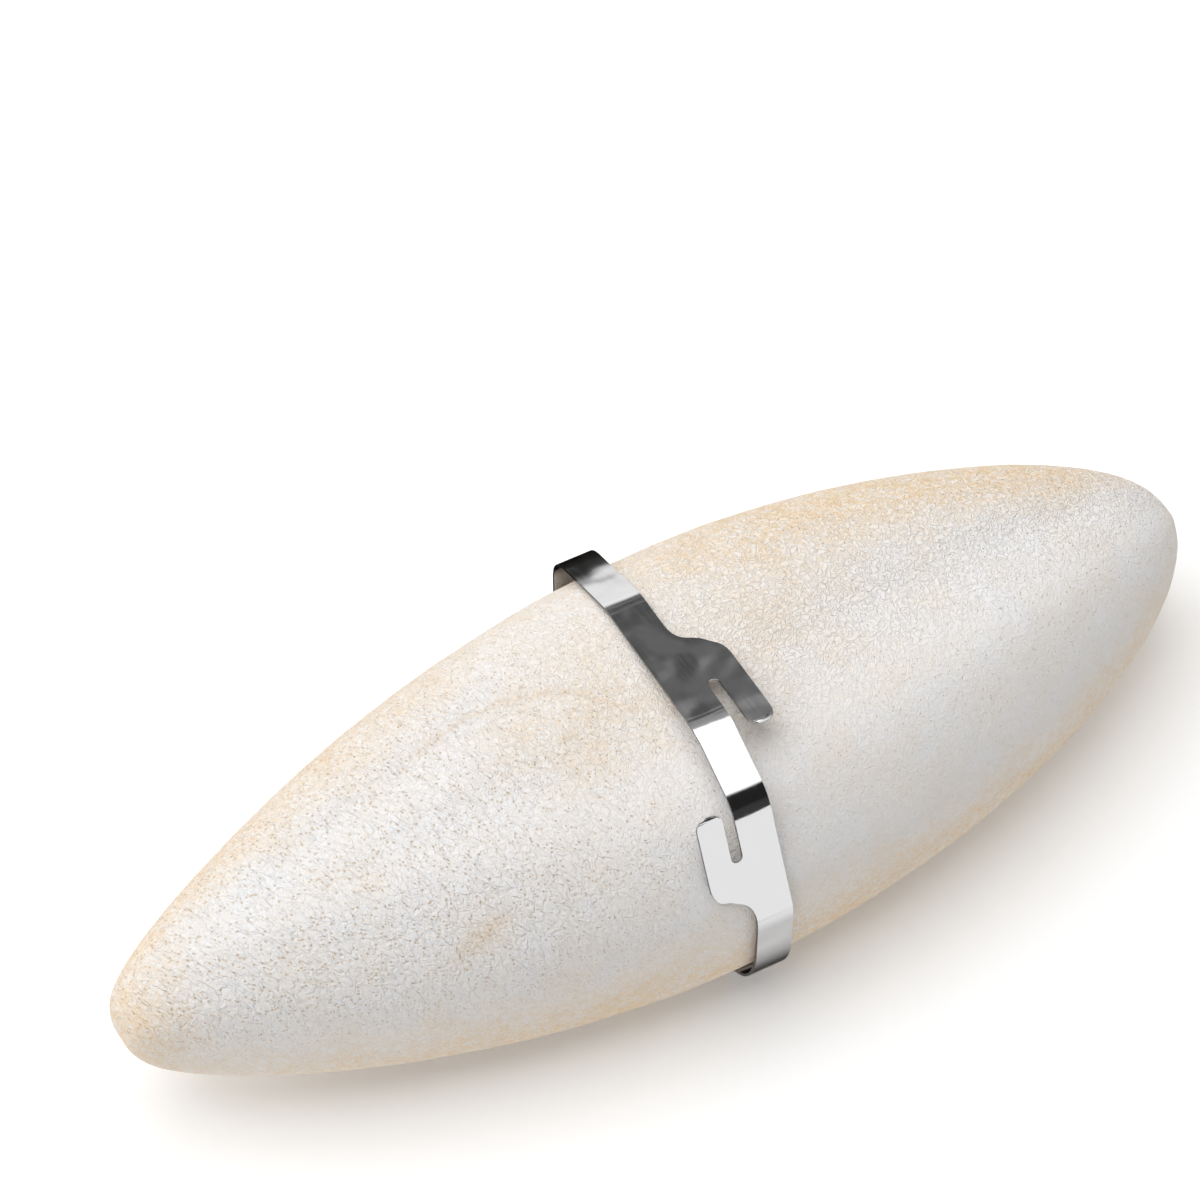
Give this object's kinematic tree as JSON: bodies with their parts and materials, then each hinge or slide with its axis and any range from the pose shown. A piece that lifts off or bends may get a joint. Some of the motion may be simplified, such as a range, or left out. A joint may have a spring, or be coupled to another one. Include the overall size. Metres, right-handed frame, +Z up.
{
  "type": "cuttlebone",
  "caption": "Pointed-oval cuttlebone in a bent sheet-steel holder clip, whose slotted hook tabs take cage wires.",
  "frame": {"origin": "on the resting plane, under the middle of the bone's length and width", "axes": "+X along the bone towards its blunt end, +Y across the bone towards the flank without a hook, +Z up"},
  "size_m": [0.16, 0.0584, 0.0437],
  "materials": {
    "cuttlebone": "matte, chalky and finely pitted",
    "clip_steel": "polished bright"
  },
  "bodies": {
    "root": {"cuttlebone": "cuttlebone", "holder_clip": "clip_steel"}
  },
  "joints": []
}
